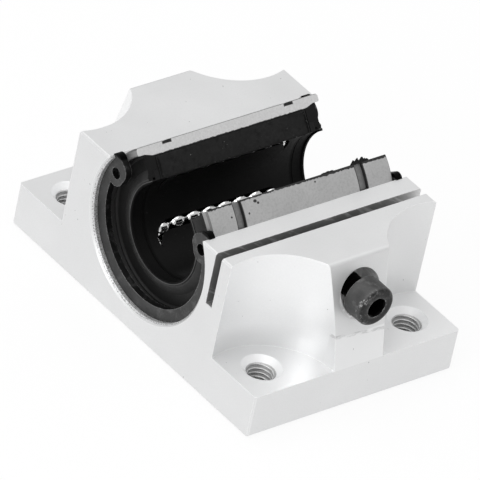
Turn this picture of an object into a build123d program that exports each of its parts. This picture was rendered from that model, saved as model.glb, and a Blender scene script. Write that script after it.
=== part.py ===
from build123d import *
from math import acos, asin, cos, degrees, floor, radians, sin, sqrt, tan
import os

# Open linear bearing block for a 16 mm shaft that is carried on a rail.
# The shaft runs along X, and its axis is the origin. The block stands on its flat mounting
# face, with the gap for the rail at the top. The adjusting screw is on the -Y side.
# All sizes are in millimetres.

# Sizes of the block
block_length = 42.0
flange_width = 62.0
flange_thickness = 8.0
axis_height = 18.0
shoulder_rise = 7.8
shoulder_inset = 5.0
waist_rise = 5.5
waist_inset = 1.3
shoulder_radius = 0.7
foot_radius = 0.8
end_edge_break = 0.3
lip_edge_break = 0.4
rib_width = 10.0
pocket_radius = 12.0

# Tapped holes in the flange, at their thread's outer size
bolt_spacing_x = 30.0
bolt_spacing_y = 50.0
bolt_radius = 2.5
bolt_sink_radius = 3.4
bolt_sink_angle = 90.0

# Slot that lets one lip of the block bend, and the screw that bends it
lip_wall = 1.8
slot_width = 1.5
slot_below_axis = 1.8
screw_rise = 1.8
screw_wall = 6.2
screw_standout = 4.6
screw_thread_radius = 2.0
screw_thread_length = 10.0
screw_tip_chamfer = 0.5
screw_head_radius = 3.5
screw_head_height = 4.0
screw_head_edge = 0.4
hex_across_flats = 3.0
hex_depth = 2.0
thread_play = 0.05
counterbore_radius = 4.1

# Shaft and bearing
shaft_radius = 8.0
bearing_radius = 14.0
bearing_inset = 2.5
bearing_fit = 0.01
bearing_end_chamfer = 0.3
bore_edge_chamfer = 0.5
gap_angle = 80.0
snap_groove_span = 26.5
snap_groove_width = 1.6
snap_groove_depth = 0.5
recess_rim_wall = 1.3
recess_depth = 3.1
recess_taper_length = 1.8
recess_edge_break = 0.15
raceway_land_angle = 18.0

# Balls and the cage that leads them round
ball_diameter = 3.175
ball_play = 0.08
ball_gap = 0.025
circuit_count = 4
circuit_pitch = 72.0
return_lift_share = 0.39
channel_clearance = 0.06
bridge_width = 2.7
cage_shaft_gap = 0.25
cage_sleeve_gap = 0.1
cage_end_wall = 0.6

# End rings and wiper seals
ring_play = 0.03
ring_sink = 1.05
ring_face_rise = 0.3
ring_edge_radius = 0.12
ring_rim_width = 0.4
ring_band_depth = 0.35
ring_band_width = 1.9
ring_band_slope = 0.15
ring_seat_depth = 1.0
seal_width = 1.9
seal_bore_gap = 0.25
seal_lip_width = 0.45
seal_lip_length = 0.4
seal_slot_width = 0.4

# Circlips that hold the bearing in the block
circlip_thickness = 1.2
circlip_play = 0.05
circlip_groove_depth = 0.7
circlip_width = 2.8
circlip_taper = 0.3
circlip_end_angle = 53.0
circlip_lug_angle = 24.0
circlip_lug_width = 4.5
circlip_lug_radius = 1.95
circlip_tip_radius = 1.0
circlip_hole_angle = 66.0
circlip_hole_radius = 1.0
circlip_hole_inset = 2.55

# Sizes that follow from the ones above
half_length = block_length / 2
half_bearing = half_length - bearing_inset
foot_z = -axis_height
flange_z = foot_z + flange_thickness
waist_z = flange_z + waist_rise
shoulder_z = shoulder_rise
slot_y = -(bearing_radius + lip_wall + slot_width / 2)
screw_seat_y = -(bearing_radius + lip_wall + slot_width + screw_wall)
pocket_x = rib_width / 2 + pocket_radius
pocket_y = flange_width / 2
groove_radius = bearing_radius + circlip_groove_depth
groove_width = circlip_thickness + 2 * circlip_play
ball_radius = ball_diameter / 2
ball_pitch = ball_diameter + ball_gap
raceway_radius = shaft_radius + ball_diameter + ball_play
loaded_row_radius = shaft_radius + (ball_diameter + ball_play) / 2
wall_behind_balls = bearing_radius - snap_groove_depth - raceway_radius
return_row_radius = loaded_row_radius + return_lift_share * wall_behind_balls
channel_radius = ball_radius + channel_clearance
relief_radius = return_row_radius + channel_radius
lane_spacing = 2 * channel_radius + bridge_width
turn_radius = lane_spacing / 2
recess_x = half_bearing - recess_depth
recess_radius = bearing_radius - recess_rim_wall
cage_half_length = recess_x - cage_sleeve_gap
lip_inner_y = sqrt(bearing_radius**2 - (shoulder_z - lip_edge_break) ** 2) + lip_edge_break

# Places of the balls in a turn: one at its far point, and one on each side of that ball. All
# the steps from ball to ball are one pitch long.
turn_ball_angle = 90 - 2 * degrees(asin(ball_pitch / (2 * turn_radius)))
turn_ball_shift = turn_radius * (1 - cos(radians(turn_ball_angle)))
turn_ball_step_x = sqrt(ball_pitch**2 - turn_ball_shift**2)
turn_start_x = turn_ball_step_x - turn_radius * sin(radians(turn_ball_angle))
row_room_x = cage_half_length - cage_end_wall - channel_radius - turn_radius - turn_start_x
balls_in_row = 1 + floor(2 * row_room_x / ball_pitch)
row_end_x = ball_pitch * (balls_in_row - 1) / 2
turn_centre_x = row_end_x + turn_start_x
lane_angle = degrees(
    acos(
        (loaded_row_radius**2 + return_row_radius**2 - lane_spacing**2)
        / (2 * loaded_row_radius * return_row_radius)
    )
)
circuit_angles = [circuit_pitch * (n - (circuit_count - 1) / 2) for n in range(circuit_count)]
over = 1.0

os.makedirs("parts", exist_ok=True)


def from_bottom(radius, angle):
    """A point across the shaft, at an angle from straight down, positive toward +Y."""
    return Vector(0, radius * sin(radians(angle)), -radius * cos(radians(angle)))


def half_section(points, side=1):
    """A section of (x, radius) points to turn about the shaft axis, on the side given."""
    with BuildSketch(Plane.XZ) as section:
        Polygon(*[(side * x, radius) for x, radius in points], align=None)
    return section.sketch


def both_ends(points):
    """The points of an outline's +X half, followed by those of its -X half."""
    return points + [(-x, radius) for x, radius in reversed(points)]


def gap_profile(half_angle):
    """The sector above the shaft axis that an open piece leaves out, as a flat sketch."""
    reach = 2 * bearing_radius
    spread = reach * tan(radians(half_angle))
    with BuildSketch() as sector:
        Polygon((0, 0), (spread, reach), (-spread, reach), align=None)
    return sector.sketch


def land_profile(inner, outer, half_angle):
    """Sectors of a ring, one over each loaded row of balls, as a flat sketch."""
    with BuildSketch() as sectors:
        for angle in circuit_angles:
            loaded_angle = angle + lane_angle / 2
            first = from_bottom(2 * outer, loaded_angle - half_angle)
            last = from_bottom(2 * outer, loaded_angle + half_angle)
            Polygon((0, 0), (first.Y, first.Z), (last.Y, last.Z), align=None)
        Circle(outer, mode=Mode.INTERSECT)
        Circle(inner, mode=Mode.SUBTRACT)
    return sectors.sketch


def circuit_plane(angle):
    """The plane that holds one ball circuit, with its normal pointing out of the bearing."""
    loaded = from_bottom(loaded_row_radius, angle + lane_angle / 2)
    back = from_bottom(return_row_radius, angle - lane_angle / 2)
    along = Vector(1, 0, 0)
    return Plane(origin=(loaded + back) / 2, x_dir=along, z_dir=(loaded - back).cross(along))


# Housing: an extruded section with the bore and the adjusting slot, milled at its corners
with BuildPart() as housing:
    with BuildSketch(Plane.YZ):
        with BuildLine():
            Polyline(
                (0, foot_z),
                (flange_width / 2, foot_z),
                (flange_width / 2, flange_z),
                (flange_width / 2 - waist_inset, waist_z),
                (flange_width / 2 - shoulder_inset, shoulder_z),
                (0, shoulder_z),
            )
            mirror(about=Plane.YZ)
        make_face()
        fillet(vertices().group_by(Axis.Y)[-1].sort_by(Axis.X)[0], shoulder_radius)
        fillet(vertices().group_by(Axis.Y)[-1].sort_by(Axis.X)[-1], shoulder_radius)
        fillet(vertices().group_by(Axis.Y)[0], foot_radius)
    extrude(amount=half_length, both=True)
    chamfer(edges().group_by(Axis.X)[0] + edges().group_by(Axis.X)[-1], end_edge_break)

    # Corner pockets, sunk to the flange around the four tapped holes
    with BuildSketch(Plane.XY.offset(flange_z)):
        with GridLocations(2 * pocket_x, 2 * pocket_y, 2, 2):
            Circle(pocket_radius)
    extrude(amount=shoulder_z - flange_z + over, mode=Mode.SUBTRACT)

    # Bore with its broken end edges
    turned_bore = [
        (-half_length - over, 0),
        (half_length + over, 0),
        (half_length + over, bearing_radius + bore_edge_chamfer + over),
        (half_length - bore_edge_chamfer, bearing_radius),
        (-half_length + bore_edge_chamfer, bearing_radius),
        (-half_length - over, bearing_radius + bore_edge_chamfer + over),
    ]
    with BuildSketch(Plane.XZ):
        Polygon(*turned_bore, align=None)
    revolve(axis=Axis.X, mode=Mode.SUBTRACT)

    # Broken edges where the bore meets the top
    with BuildSketch(Plane.YZ):
        Polygon(
            (lip_inner_y + over, shoulder_z + over),
            (lip_inner_y - over, shoulder_z - over),
            (over - lip_inner_y, shoulder_z - over),
            (-lip_inner_y - over, shoulder_z + over),
            align=None,
        )
    extrude(amount=half_length + over, both=True, mode=Mode.SUBTRACT)

    # Grooves for the circlips
    with BuildSketch(Plane.XZ):
        for side in (-1, 1):
            with Locations((side * (half_bearing + groove_width / 2), groove_radius / 2)):
                Rectangle(groove_width, groove_radius)
    revolve(axis=Axis.X, mode=Mode.SUBTRACT)

    # Adjusting slot, open at the top and at both ends
    with BuildSketch(Plane.YZ):
        with Locations((slot_y, (shoulder_z + over - slot_below_axis) / 2)):
            Rectangle(slot_width, shoulder_z + over + slot_below_axis)
    extrude(amount=half_length + over, both=True, mode=Mode.SUBTRACT)

    # Tapped holes through the flange
    with Locations(Plane.XY.offset(flange_z)):
        with GridLocations(bolt_spacing_x, bolt_spacing_y, 2, 2):
            CounterSinkHole(bolt_radius, bolt_sink_radius, flange_thickness + over, bolt_sink_angle)

    # Tapped hole and counterbore for the adjusting screw
    with Locations(Plane(origin=(0, screw_seat_y, screw_rise), z_dir=(0, -1, 0))):
        Hole(screw_thread_radius + thread_play, depth=screw_wall + slot_width / 2)
    with BuildSketch(Plane(origin=(0, screw_seat_y, screw_rise), z_dir=(0, -1, 0))):
        Circle(counterbore_radius)
    extrude(amount=flange_width / 2, mode=Mode.SUBTRACT)

housing.part.label = "housing"
export_step(housing.part, "parts/housing.step")

# Bearing sleeve: hardened steel, with a ground land over each loaded row and relieved elsewhere
with BuildPart() as bearing_sleeve:
    sleeve_radius = bearing_radius - bearing_fit
    groove_floor = bearing_radius - snap_groove_depth
    groove_out = snap_groove_span / 2
    groove_in = groove_out - snap_groove_width
    half_outline = [
        (groove_in, sleeve_radius),
        (groove_in, groove_floor),
        (groove_out, groove_floor),
        (groove_out, sleeve_radius),
        (half_bearing - bearing_end_chamfer, sleeve_radius),
        (half_bearing, sleeve_radius - bearing_end_chamfer),
        (half_bearing, recess_radius + recess_edge_break),
        (half_bearing - recess_edge_break, recess_radius),
        (recess_x + recess_taper_length, recess_radius),
        (recess_x, relief_radius),
    ]
    revolve(half_section(both_ends(half_outline)), axis=Axis.X)
    with BuildSketch(Plane.YZ):
        land_outer = (relief_radius + groove_floor) / 2
        add(land_profile(raceway_radius, land_outer, raceway_land_angle / 2))
    extrude(amount=turn_centre_x, both=True)
    with BuildSketch(Plane.YZ):
        add(gap_profile(gap_angle / 2))
    extrude(amount=half_length, both=True, mode=Mode.SUBTRACT)

bearing_sleeve.part.label = "bearing_sleeve"
export_step(bearing_sleeve.part, "parts/bearing_sleeve.step")

# Ball cage: a moulded tube with a closed channel for each circuit, open to the shaft where
# the balls carry load
with BuildPart() as ball_cage:
    cage_inner = shaft_radius + cage_shaft_gap
    cage_outer = relief_radius - cage_sleeve_gap
    under_land = raceway_radius - cage_sleeve_gap
    beside_land = degrees(cage_sleeve_gap / raceway_radius)
    with BuildSketch(Plane.YZ):
        Circle(cage_outer)
        Circle(cage_inner, mode=Mode.SUBTRACT)
    extrude(amount=cage_half_length, both=True)
    with BuildSketch(Plane.YZ):
        add(land_profile(under_land, cage_outer + over, raceway_land_angle / 2 + beside_land))
    extrude(amount=turn_centre_x + cage_sleeve_gap, both=True, mode=Mode.SUBTRACT)
    for angle in circuit_angles:
        level = circuit_plane(angle)
        with BuildLine(level) as circuit:
            Line((-turn_centre_x, -turn_radius), (turn_centre_x, -turn_radius))
            CenterArc((turn_centre_x, 0), turn_radius, -90, 180)
            Line((turn_centre_x, turn_radius), (-turn_centre_x, turn_radius))
            CenterArc((-turn_centre_x, 0), turn_radius, 90, 180)
        start = circuit.wire() @ 0
        with BuildSketch(Plane(origin=start, x_dir=level.y_dir, z_dir=level.x_dir)):
            Circle(channel_radius)
            with Locations((0, channel_radius)):
                Rectangle(2 * channel_radius, 2 * channel_radius)
        sweep(path=circuit.wire(), mode=Mode.SUBTRACT)
    with BuildSketch(Plane.YZ):
        add(gap_profile(gap_angle / 2))
    extrude(amount=half_length, both=True, mode=Mode.SUBTRACT)

ball_cage.part.label = "ball_cage"
export_step(ball_cage.part, "parts/ball_cage.step")

# Ball circuits: a loaded row, a return row and three balls in each turn, as separate balls
row_places = [ball_pitch * n - row_end_x for n in range(balls_in_row)]
ball_places = []
for side in (-1, 1):
    ball_places += [(x, side * turn_radius) for x in row_places]
    ball_places += [(side * (turn_centre_x + turn_radius), 0)]
    for end_side in (-1, 1):
        turn_ball_x = end_side * (row_end_x + turn_ball_step_x)
        ball_places += [(turn_ball_x, side * (turn_radius - turn_ball_shift))]
for number, angle in enumerate(circuit_angles, start=1):
    with BuildPart(circuit_plane(angle)) as ball_circuit:
        with Locations(*ball_places):
            Sphere(ball_radius)
    ball_circuit.part.label = f"ball_circuit_{number}"
    export_step(ball_circuit.part, f"parts/ball_circuit_{number}.step")

# End parts of the bearing: the front ones are on the -X side
for end, side in (("front", -1), ("rear", 1)):
    back_x = recess_x + ring_play
    seat_x = back_x + ring_seat_depth
    rim_x = half_bearing - ring_sink
    band_x = rim_x - ring_band_depth
    face_x = rim_x + ring_face_rise
    ring_radius = recess_radius - ring_play
    ring_back_radius = relief_radius - ring_play
    band_outer = ring_radius - ring_rim_width - ring_band_slope
    seat_radius = shaft_radius + seal_width
    lip_radius = shaft_radius + seal_lip_width

    # End ring: plastic, a flat band inside its rim, then a rise to the seal's seat
    with BuildPart() as end_ring:
        ring_outline = [
            (back_x, seat_radius),
            (back_x, ring_back_radius),
            (recess_x + recess_taper_length, ring_radius),
            (rim_x, ring_radius),
            (rim_x, ring_radius - ring_rim_width),
            (band_x, band_outer),
            (band_x, band_outer - ring_band_width),
            (face_x, lip_radius + seal_slot_width),
            (seat_x, lip_radius + seal_slot_width),
            (seat_x, seat_radius),
        ]
        revolve(half_section(ring_outline, side), axis=Axis.X)
        rim_edge = edges().filter_by(GeomType.CIRCLE).group_by(SortBy.RADIUS)[-1]
        fillet(rim_edge.sort_by(Axis.X)[-1 if side > 0 else 0], ring_edge_radius)
        with BuildSketch(Plane.YZ):
            add(gap_profile(gap_angle / 2))
        extrude(amount=half_length, both=True, mode=Mode.SUBTRACT)
    end_ring.part.label = f"end_ring_{end}"
    export_step(end_ring.part, f"parts/end_ring_{end}.step")

    # Wiper seal: rubber, with a flange in the ring's seat and a lip that wipes the shaft
    with BuildPart() as wiper_seal:
        seal_radius = seat_radius - ring_play
        bore_radius = shaft_radius + seal_bore_gap
        seal_outline = [
            (back_x, bore_radius),
            (back_x, seal_radius),
            (seat_x - ring_play, seal_radius),
            (seat_x - ring_play, lip_radius),
            (face_x, lip_radius),
            (face_x, shaft_radius),
            (face_x - seal_lip_length, shaft_radius),
            (face_x - seal_lip_length, bore_radius),
        ]
        revolve(half_section(seal_outline, side), axis=Axis.X)
        with BuildSketch(Plane.YZ):
            add(gap_profile(gap_angle / 2))
        extrude(amount=half_length, both=True, mode=Mode.SUBTRACT)
    wiper_seal.part.label = f"wiper_seal_{end}"
    export_step(wiper_seal.part, f"parts/wiper_seal_{end}.step")

    # Circlip: stamped spring steel, widest opposite its gap, with a lug and a hole at each end
    with BuildPart() as circlip:
        clip_outer = groove_radius - circlip_play
        lug_inner = clip_outer - circlip_lug_width
        clip_x = side * (half_bearing + circlip_play)
        lug_end = circlip_end_angle + circlip_lug_angle
        with BuildSketch(Plane.YZ.offset(clip_x)):
            Circle(clip_outer)
            with Locations((0, circlip_taper)):
                Circle(clip_outer - circlip_width + circlip_taper, mode=Mode.SUBTRACT)
            for lug_side in (-1, 1):
                first = 90 - lug_side * circlip_end_angle
                last = 90 - lug_side * lug_end
                with BuildLine():
                    inner_arc = CenterArc((0, 0), lug_inner, first, last - first)
                    outer_arc = CenterArc((0, 0), clip_outer, first, last - first)
                    Line(inner_arc @ 0, outer_arc @ 0)
                    Line(inner_arc @ 1, outer_arc @ 1)
                make_face()
            add(gap_profile(circlip_end_angle), mode=Mode.SUBTRACT)
            fillet(vertices().group_by(SortBy.DISTANCE)[0], circlip_lug_radius)
            fillet(vertices().group_by(Axis.Y)[-1], circlip_tip_radius)
            for lug_side in (-1, 1):
                hole_turn = 180 - lug_side * circlip_hole_angle
                centre = from_bottom(clip_outer - circlip_hole_inset, hole_turn)
                with Locations((centre.Y, centre.Z)):
                    Circle(circlip_hole_radius, mode=Mode.SUBTRACT)
        extrude(amount=side * circlip_thickness)
    circlip.part.label = f"circlip_{end}"
    export_step(circlip.part, f"parts/circlip_{end}.step")

# Adjusting screw: a cylinder-head screw with a hexagon socket, backed out of its seat
with BuildPart() as adjusting_screw:
    under_head = Plane(origin=(0, screw_seat_y - screw_standout, screw_rise), z_dir=(0, -1, 0))
    with BuildSketch(under_head):
        Circle(screw_head_radius)
    extrude(amount=screw_head_height)
    fillet(edges().group_by(Axis.Y)[0], screw_head_edge)
    with BuildSketch(under_head):
        Circle(screw_thread_radius)
    extrude(amount=-screw_thread_length)
    chamfer(edges().group_by(Axis.Y)[-1], screw_tip_chamfer)
    with BuildSketch(under_head.offset(screw_head_height)):
        RegularPolygon(hex_across_flats / 2, 6, major_radius=False)
    extrude(amount=-hex_depth, mode=Mode.SUBTRACT)

adjusting_screw.part.label = "adjusting_screw"
export_step(adjusting_screw.part, "parts/adjusting_screw.step")
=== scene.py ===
from functools import cached_property
from math import acos, asin, atan2, cos, degrees, floor, pi, radians, sin, sqrt

import bmesh
import bpy
from mathutils import Matrix, Vector, noise


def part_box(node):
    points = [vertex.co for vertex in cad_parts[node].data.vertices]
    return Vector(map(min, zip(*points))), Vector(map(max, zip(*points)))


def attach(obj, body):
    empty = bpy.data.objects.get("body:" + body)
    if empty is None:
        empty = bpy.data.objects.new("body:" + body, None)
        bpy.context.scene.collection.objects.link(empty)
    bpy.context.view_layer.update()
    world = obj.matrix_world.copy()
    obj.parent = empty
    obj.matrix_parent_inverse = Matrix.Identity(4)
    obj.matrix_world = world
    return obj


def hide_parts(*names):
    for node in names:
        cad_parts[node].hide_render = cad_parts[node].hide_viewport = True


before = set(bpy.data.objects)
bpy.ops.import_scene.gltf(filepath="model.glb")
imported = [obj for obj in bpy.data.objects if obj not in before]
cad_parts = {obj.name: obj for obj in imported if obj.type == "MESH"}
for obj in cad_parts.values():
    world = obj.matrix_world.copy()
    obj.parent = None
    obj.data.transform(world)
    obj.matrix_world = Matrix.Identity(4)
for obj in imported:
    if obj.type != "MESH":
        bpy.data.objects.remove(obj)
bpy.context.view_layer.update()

# Lengths below are written in millimetres and turned into metres by this factor
MM = 0.001

# Housing: its foot, its flange and the holes in its corners
block_low, block_high = (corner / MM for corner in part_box("housing"))
foot_z = block_low.z
block_end_x = block_high.x
flange_thickness = 8.0
flange_z = foot_z + flange_thickness
bolt_spacing_x = 30.0
bolt_spacing_y = 50.0
bolt_radius = 2.5
bolt_sink_radius = 3.4
thread_top_z = flange_z - (bolt_sink_radius - bolt_radius)
thread_depth = 0.43
thread_pitch = 0.8

# Housing: where its finish changes, and where light and shade are painted on it
pocket_x = 17.0
pocket_y = 31.0
pocket_radius = 12.0
pocket_shade_height = 4.5
slot_low_y = -17.3
slot_high_y = -15.8
slot_floor_z = -1.8
slot_paler_x = 13.0
counterbore_radius = 4.1
counterbore_floor_y = -23.5
rib_y = -28.5
rib_half_width = 6.0
waist_z = -4.5
fold_slope = 0.09
fold_height = 0.42
chamfer_low_radius = 13.9
chamfer_high_radius = 14.22
chamfer_x = 19.75

# Housing: the flank where the screw goes in
flank_foot_y = 29.7
flank_top_y = 26.0
flank_top_z = 7.8

# Bearing: its sleeve, its gap, and the turns in which the balls go back
sleeve_radius = 14.0
sleeve_end_x = 18.5
snap_groove_low = 11.65
snap_groove_high = 13.25
snap_groove_depth = 0.5
relief_radius = 12.15
cut_angle = 140.0
ball_diameter = 3.175
ball_pitch = 3.2
balls_in_row = 6
loaded_row_radius = 9.6275
return_row_radius = 10.503
lane_spacing = 5.995
circuit_angles = (-108.0, -36.0, 36.0, 108.0)
turn_lift = 0.45
cage_inner = 8.25
cage_end_x = 14.95
lip_thickness = 0.19
# A patch of painted light in the cage's bore, low on its near side
bore_paler_low_y = -7.6
bore_paler_high_y = -2.0
bore_paler_end_x = 14.0
bore_paler_top_z = -5.0

# Bearing: the face of an end ring, from its rim through its flat band to its cone and seal
ring_rim_x = 17.45
ring_band_x = 17.1
ring_face_x = 17.75
ring_shoulder_radius = 12.27
band_outer_radius = 12.12
band_inner_radius = 10.22
slot_outer_radius = 8.85
slot_inner_radius = 8.45
seal_lip_x = 17.1

# Bearing: the circlips' tips and worn rim
circlip_tip_z = 7.8
circlip_rim_low = 13.6
circlip_rim_high = 14.2

# Adjusting screw
screw_low, screw_high = (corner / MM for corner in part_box("adjusting_screw"))
screw_rise = (screw_low.z + screw_high.z) / 2
screw_head_radius = (screw_high.x - screw_low.x) / 2
screw_head_height = 4.0
screw_head_edge = 0.65
screw_under_y = screw_low.y + screw_head_height
screw_thread_radius = 2.0
screw_thread_pitch = 0.7
screw_thread_depth = 0.38
hex_across_flats = 3.0
hex_corner_radius = hex_across_flats / 2 / cos(radians(30))
hex_depth = 2.0

# Burrs along the sleeve's near outer edge: start and end along X, and height
sleeve_burrs = (
    (11.0, 14.8, 0.85),
    (5.0, 7.6, 0.22),
    (-18.2, -17.2, 0.25),
)

# Chips on the outside of the sleeve: place along X, angle from the bottom, and half sizes
chips = (
    (-8.9, 136.6, 0.35, 1.0),
    (-8.4, 134.9, 0.25, 0.8),
    (-14.1, 131.0, 0.22, 0.8),
    (-10.6, 130.0, 0.15, 0.7),
    (3.4, 136.8, 0.15, 0.6),
)

# Greys of the housing, from 0 for black to 1 for white. Of a pair, one turns into the other
milled_greys = (0.750, 0.785)
milled_grain_grey = 0.70
# Pockets: painted light in front, painted shade at the foot of the front ones and on the rear ones
pocket_painted_light_greys = (0.89, 0.94)
pocket_painted_foot_shade_grey = 0.715
pocket_painted_shade_greys = (0.765, 0.80)
# The slot's walls: dark with painted shade, with paler scratches
slot_shade_and_scratch_greys = (0.36, 0.72)
slot_rear_grey = 0.80
# The counterbore: scuffs, and painted light against the shade of the screw's head
counterbore_scuff_and_light_greys = (0.80, 0.98)
# The rib: painted light on its lower face, and a painted shadow line along its waist
rib_painted_light_grey = 0.85
fold_painted_shadow_grey = 0.42
chamfer_grey = 0.16
# Corner holes: painted shade in the thread's roots, painted highlights on its crests, painted light in the
# sink
thread_shade_and_highlight_greys = (0.40, 0.97)
sink_painted_light_grey = 0.88
speck_grey = 0.20
# Painted highlights along the edges
edge_highlight_grey = 0.95
alloy_tint = 0.004

# Greys of the sleeve and the balls
ground_greys = (0.465, 0.52)
ground_grain_grey = 0.38
cut_greys = (0.68, 0.78)
inside_grey = 0.10
groove_greys = (0.20, 0.27)
# Painted shade in black along the sides of the grooves
groove_side_painted_shade_grey = 0.02
end_greys = (0.30, 0.40)
end_rim_grey = 0.13
# Painted shade in black along the edges of the cut faces
sleeve_edge_painted_shade_grey = 0.02
blot_grey = 0.25
chip_grey = 0.05
ball_greys = (0.68, 0.78)

# Greys of the plastic, the rubber and the burrs
# The cage's bore: black, and its patch of painted light
cage_bore_and_painted_light_greys = (0.0035, 0.014)
cage_cut_greys = (0.008, 0.016)
cage_mark_grey = 0.45
# The end ring's face: a painted reflection on the cone and painted shade in the band
cone_painted_reflection_greys = (0.036, 0.022)
band_painted_shade_grey = 0.009
ring_cut_grey = 0.001
# Black rubber, and a painted highlight on the seal's lip
seal_and_lip_highlight_greys = (0.004, 0.085)
moulded_cloud_grey = 0.006
moulded_scuff_grey = 0.10
burr_greys = (0.006, 0.10)

# Greys of the blackened steel, where little light reaches it
turned_away_grey = 0.006
painted_shade_grey = 0.003

# Studio: the floor's half size and grey, how much it glows to the camera, and the room's light
floor_half_size = 900.0
floor_gap = 0.02
floor_grey = 0.86
floor_glow = 0.88
room_light = 0.84

# Lamps: name, place and size in metres, and power in watts
lamps = (
    ("lamp_overhead", (-0.15, 0.05, 0.9), 1.2, 4.7),
    ("lamp_front", (-0.9, -0.25, 0.45), 0.6, 2.5),
)

# Camera: the photograph's viewing direction and roll in degrees, its distance and its sideways
# shifts in millimetres, and its lens for a sensor 36 mm wide
view_azimuth = -45.383
view_elevation = 34.960
view_roll = 12.412
view_distance = 1312.58
view_right = 1.46
view_up = 8.85
view_centre = Vector((0.0, -0.15, -17.75))
view_lens = 614.8
sensor_width = 36.0


def link(obj):
    bpy.context.scene.collection.objects.link(obj)
    return obj


def to_mesh(name, shape):
    """A mesh in metres from a bmesh in millimetres, which is freed."""
    bmesh.ops.scale(shape, vec=Vector((MM, MM, MM)), verts=shape.verts)
    mesh = bpy.data.meshes.new(name)
    shape.to_mesh(mesh)
    shape.free()
    return mesh


def mesh_piece(name, shape, body, material, sharp_angle):
    """A named piece from a bmesh in millimetres, riding on a body and material."""
    bmesh.ops.recalc_face_normals(shape, faces=shape.faces)
    mesh = to_mesh(name, shape)
    piece = link(bpy.data.objects.new(name, mesh))
    mesh.materials.append(material)
    mesh.shade_smooth()
    mesh.set_sharp_from_angle(angle=radians(sharp_angle))
    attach(piece, body)
    return piece


def grey(value, tint=0.0):
    """A grey, made a little bluer by a tint."""
    return (value * (1 - tint), value, value * (1 + tint), 1.0)


def alloy(value):
    return grey(value, alloy_tint)


class Tree:
    """A short way to write the node tree of a material or of the world."""

    def __init__(self, owner):
        owner.use_nodes = True
        self.tree = owner.node_tree
        self.tree.nodes.clear()

    def join(self, source, target):
        if isinstance(source, (int, float, tuple)):
            target.default_value = source
        else:
            self.tree.links.new(source, target)

    def feed(self, node, inputs):
        for key, value in inputs.items():
            self.join(value, node.inputs[key.replace("_", " ")])

    def new(self, kind, settings=None, **inputs):
        node = self.tree.nodes.new("ShaderNode" + kind)
        for key, value in (settings or {}).items():
            setattr(node, key, value)
        self.feed(node, inputs)
        return node

    def math(self, operation, *values):
        node = self.new("Math", {"operation": operation})
        for value, target in zip(values, node.inputs):
            self.join(value, target)
        return node.outputs[0]

    def times(self, first, *others):
        for other in others:
            first = self.math("MULTIPLY", first, other)
        return first

    def plus(self, first, *others):
        for other in others:
            first = self.math("ADD", first, other)
        return first

    def minus(self, first, second):
        return self.math("SUBTRACT", first, second)

    def blend(self, share, first, second):
        """One shader turning into another."""
        node = self.new("MixShader")
        for source, target in zip((share, first, second), node.inputs):
            self.join(source, target)
        return node.outputs[0]


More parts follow.
